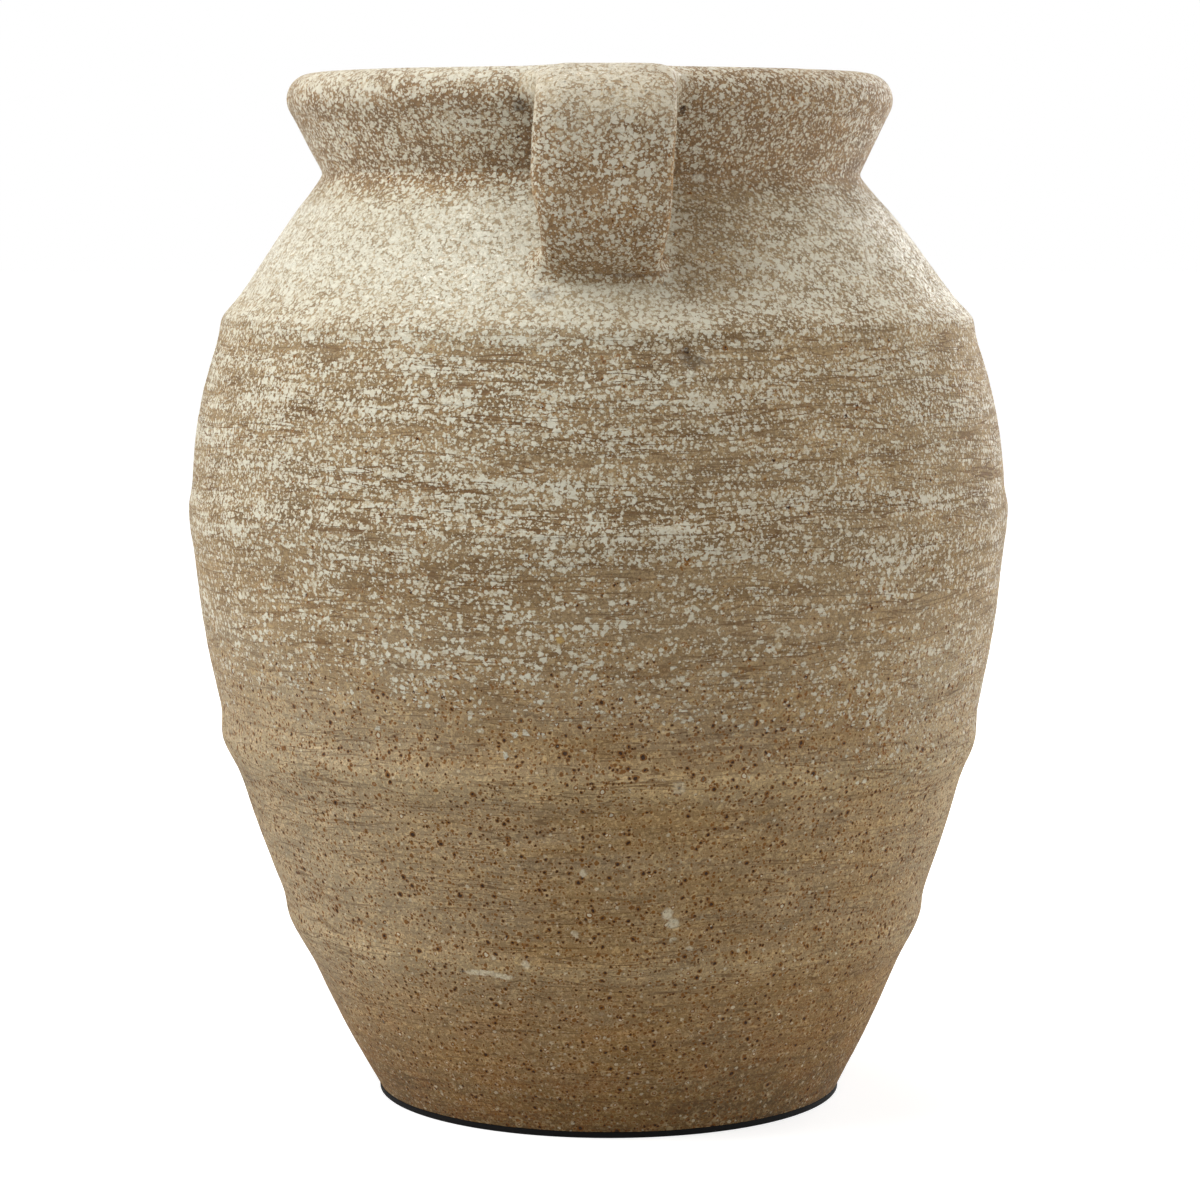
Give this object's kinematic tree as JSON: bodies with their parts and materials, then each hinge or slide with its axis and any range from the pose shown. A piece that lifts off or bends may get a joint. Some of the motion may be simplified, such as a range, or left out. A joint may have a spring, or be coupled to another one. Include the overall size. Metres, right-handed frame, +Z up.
{
  "type": "pitcher vase",
  "caption": "Large ovoid pitcher vase of coil-thrown clay: rolled flaring lip with a pulled spout, short strap handle from lip to shoulder, low joint ridges, narrow foot on a thin pad.",
  "frame": {"origin": "centre of the foot, on the surface that the pot stands on (the underside of the base pad)", "axes": "+Z up; the handle is at -Y and the pouring lip at +Y; +X is to the right when the handle faces you"},
  "size_m": [0.257, 0.257, 0.321],
  "materials": {
    "lime_spattered_clay": "matt taupe clay under dense cream spatter, with a faint sheen where the spatter runs together",
    "spattered_clay": "matt olive-brown clay with fine level throwing marks and cream spatter that thins downwards",
    "bare_clay": "dry khaki-brown clay with dark iron specks and pinholes, redder towards the foot",
    "inside_clay": "dry unglazed clay with broad throwing rings",
    "pad_rubber": "black foam rubber, fine matt skin"
  },
  "bodies": {
    "root": {"base_pad": "pad_rubber", "floor_slab": "inside_clay", "floor_coil": "inside_clay", "foot_section": "bare_clay", "lower_section": "bare_clay", "belly_section": "spattered_clay", "upper_belly_section": "spattered_clay", "shoulder_section": "lime_spattered_clay", "rim_section": "lime_spattered_clay", "handle_strap": "lime_spattered_clay", "handle_top_luting": "lime_spattered_clay", "handle_foot_luting": "lime_spattered_clay"}
  },
  "joints": []
}
